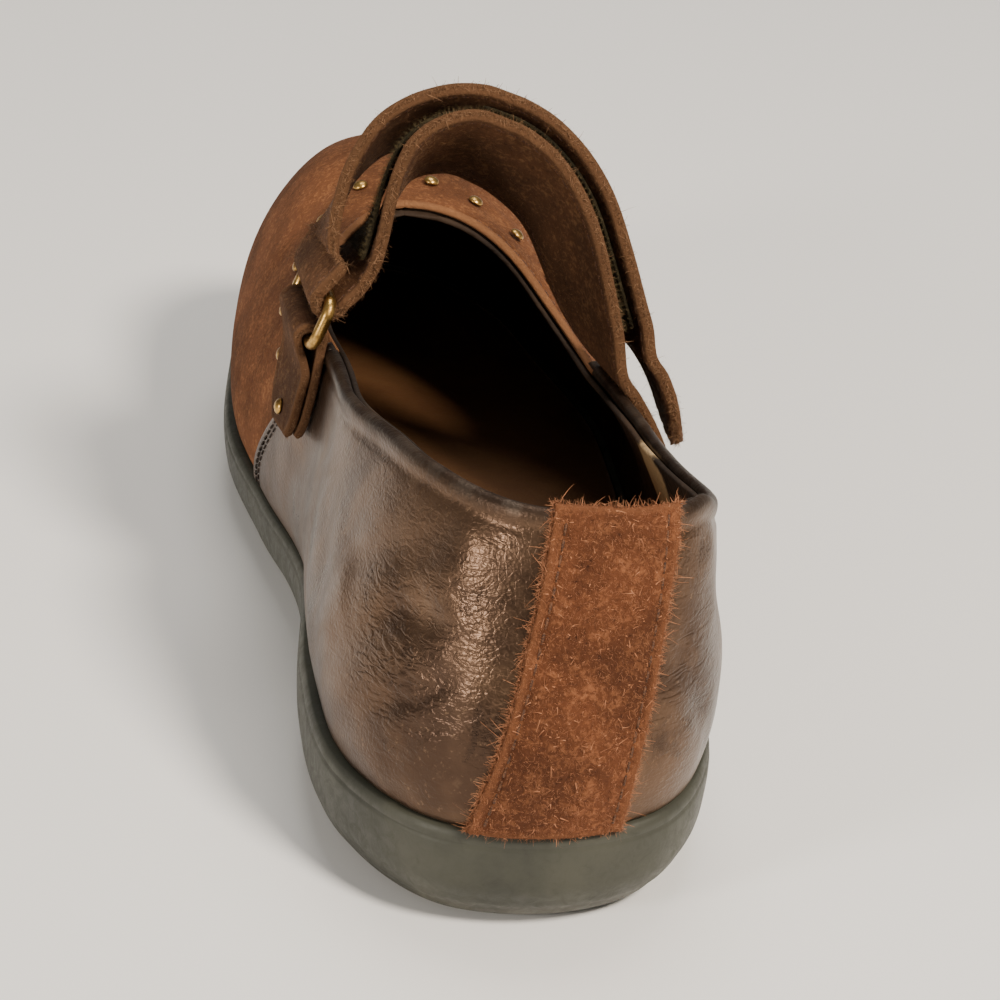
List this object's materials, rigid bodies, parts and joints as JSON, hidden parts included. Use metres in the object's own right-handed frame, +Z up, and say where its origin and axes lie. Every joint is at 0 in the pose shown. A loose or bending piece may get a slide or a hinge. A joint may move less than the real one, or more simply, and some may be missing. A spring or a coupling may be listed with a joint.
{
  "type": "mary jane shoe",
  "caption": "Child's mary jane shoe with a suede vamp, metallic leather quarters, a cup sole and a wide touch-fastened strap through a brass ring",
  "frame": {"origin": "under the middle of the heel, on the flat of the sole that rests on the floor", "axes": "+X to the lateral side, +Y to the toe, +Z up"},
  "size_m": [0.0723, 0.2062, 0.0949],
  "materials": {
    "bronze_leather": "semi-gloss metallic leather, creased",
    "rust_suede": "napped rust-brown suede",
    "dark_rubber": "satin grey-green rubber",
    "insole_board": "worn matte leather sock",
    "fastener_pile": "dark olive loop pile and hooks",
    "old_brass": "dulled brass"
  },
  "bodies": {
    "root": {"upper": "bronze_leather", "outsole": "dark_rubber", "insole": "insole_board", "heel_strip": "rust_suede", "strap": "rust_suede", "strap_pile": "fastener_pile", "strap_hooks": "fastener_pile", "ring": "old_brass", "ring_tab": "rust_suede", "stud_01": "old_brass", "stud_02": "old_brass", "stud_03": "old_brass", "stud_04": "old_brass", "stud_05": "old_brass", "stud_06": "old_brass", "stud_07": "old_brass", "stud_08": "old_brass", "stud_09": "old_brass", "stud_10": "old_brass", "stud_11": "old_brass"}
  },
  "joints": []
}
